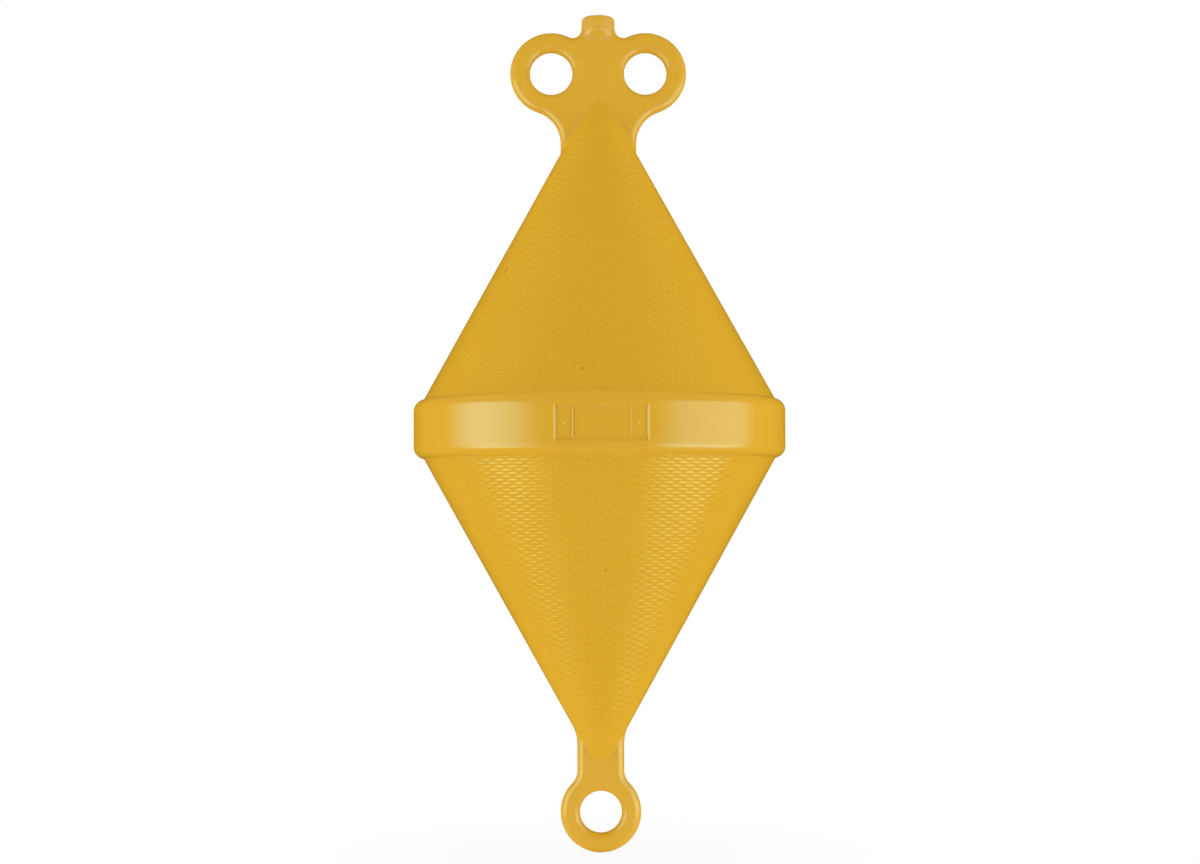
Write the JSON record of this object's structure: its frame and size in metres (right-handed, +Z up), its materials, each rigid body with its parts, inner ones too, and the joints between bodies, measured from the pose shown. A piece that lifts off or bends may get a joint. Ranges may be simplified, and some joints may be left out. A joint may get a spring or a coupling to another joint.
{
  "type": "biconical mooring buoy",
  "caption": "Foam-filled mooring buoy of opposed cones on a proud belt, with a flat lug plate of eyes at the head and at the tail and a plugged filling neck.",
  "frame": {"origin": "on the buoy's axis at the middle of the belt, where the design waterline runs", "axes": "+Z up along the axis to the filling neck, +X along the lug plates to the right-hand head eye, -Y out of the name panel"},
  "size_m": [0.32, 0.32, 0.7211],
  "materials": {
    "yellow_belt": "satin",
    "yellow_textured": "satin",
    "yellow_smooth": "satin"
  },
  "bodies": {
    "root": {"belt": "yellow_belt", "upper_cone": "yellow_textured", "lower_cone": "yellow_textured", "head_plate": "yellow_smooth", "tail_plate": "yellow_smooth", "filling_neck": "yellow_smooth", "filler_plug": "yellow_smooth", "name_frame": "yellow_belt", "frame_pip_left": "yellow_belt", "frame_pip_right": "yellow_belt"}
  },
  "joints": []
}
